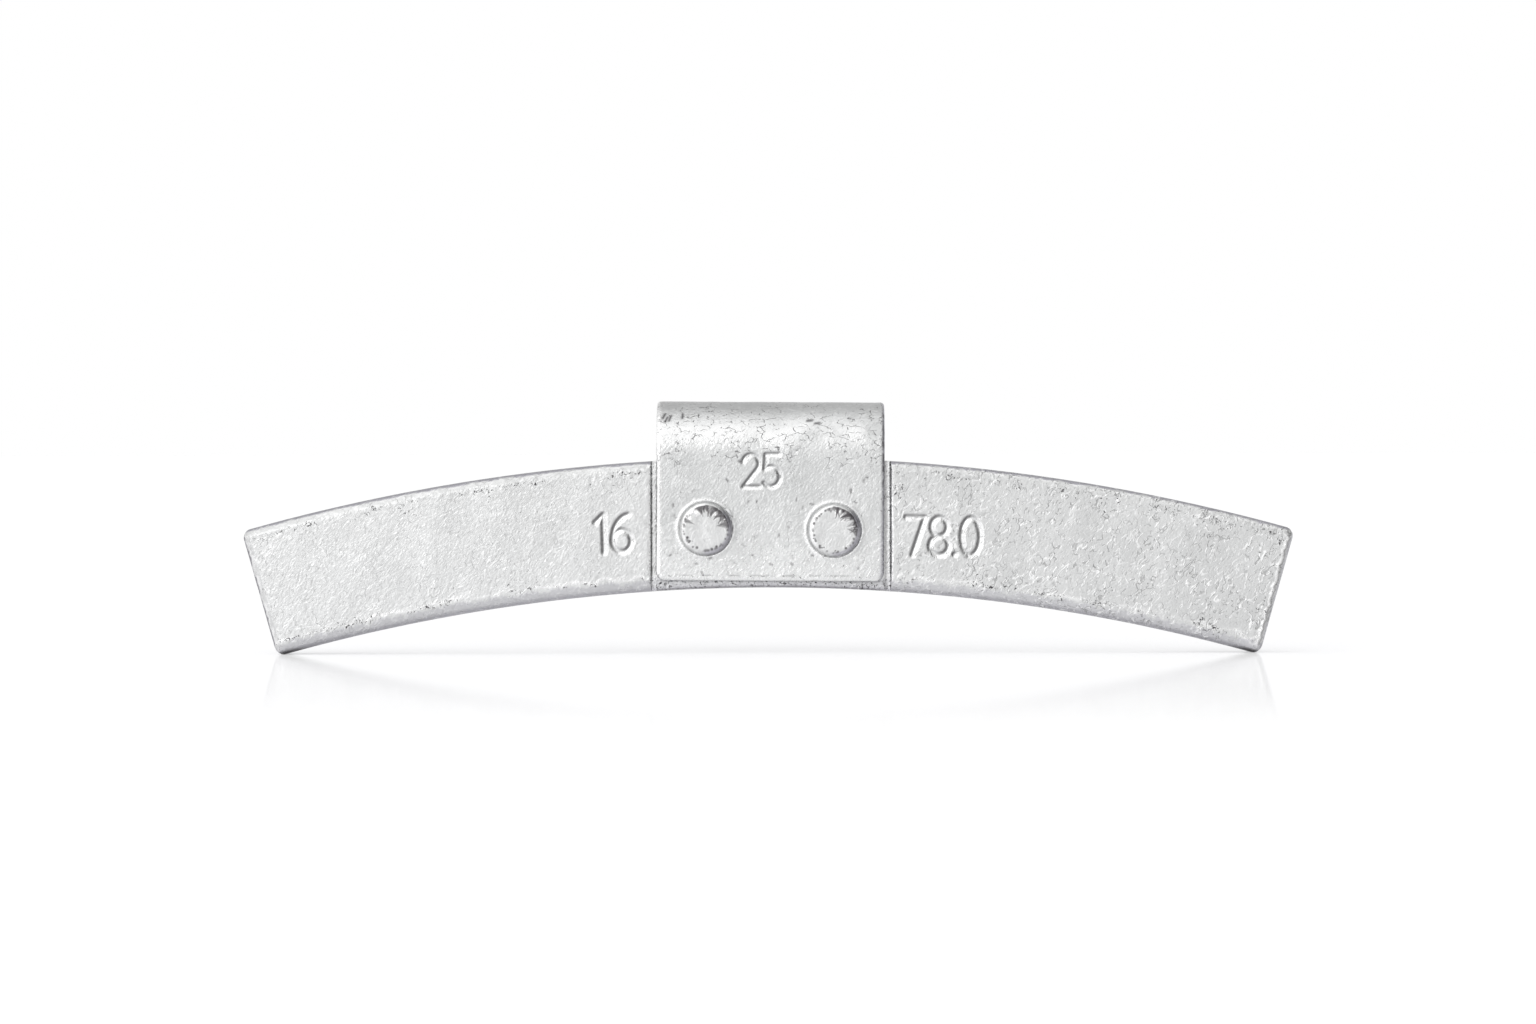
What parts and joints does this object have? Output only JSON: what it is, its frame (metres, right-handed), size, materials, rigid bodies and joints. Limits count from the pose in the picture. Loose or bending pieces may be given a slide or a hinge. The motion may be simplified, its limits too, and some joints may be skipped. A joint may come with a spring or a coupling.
{
  "type": "wheel balance weight",
  "caption": "Curved steel bar with a spring clip staked across its face; the clip hooks over the lip of a wheel's rim to balance the wheel.",
  "frame": {"origin": "on the floor under the two toes of the arched bar, midway along it and midway through the depth of bar, heads and hook", "axes": "+X along the bar, +Y from the visible face towards the wheel, +Z away from the wheel's axis"},
  "size_m": [0.1176, 0.0118, 0.0283],
  "materials": {
    "bar_zinc": "zinc flake coat, fine leathery crinkle",
    "clip_zinc": "zinc flake coat over spring steel, smoother"
  },
  "bodies": {
    "root": {"weight_body": "bar_zinc", "rim_clip": "clip_zinc"}
  },
  "joints": []
}
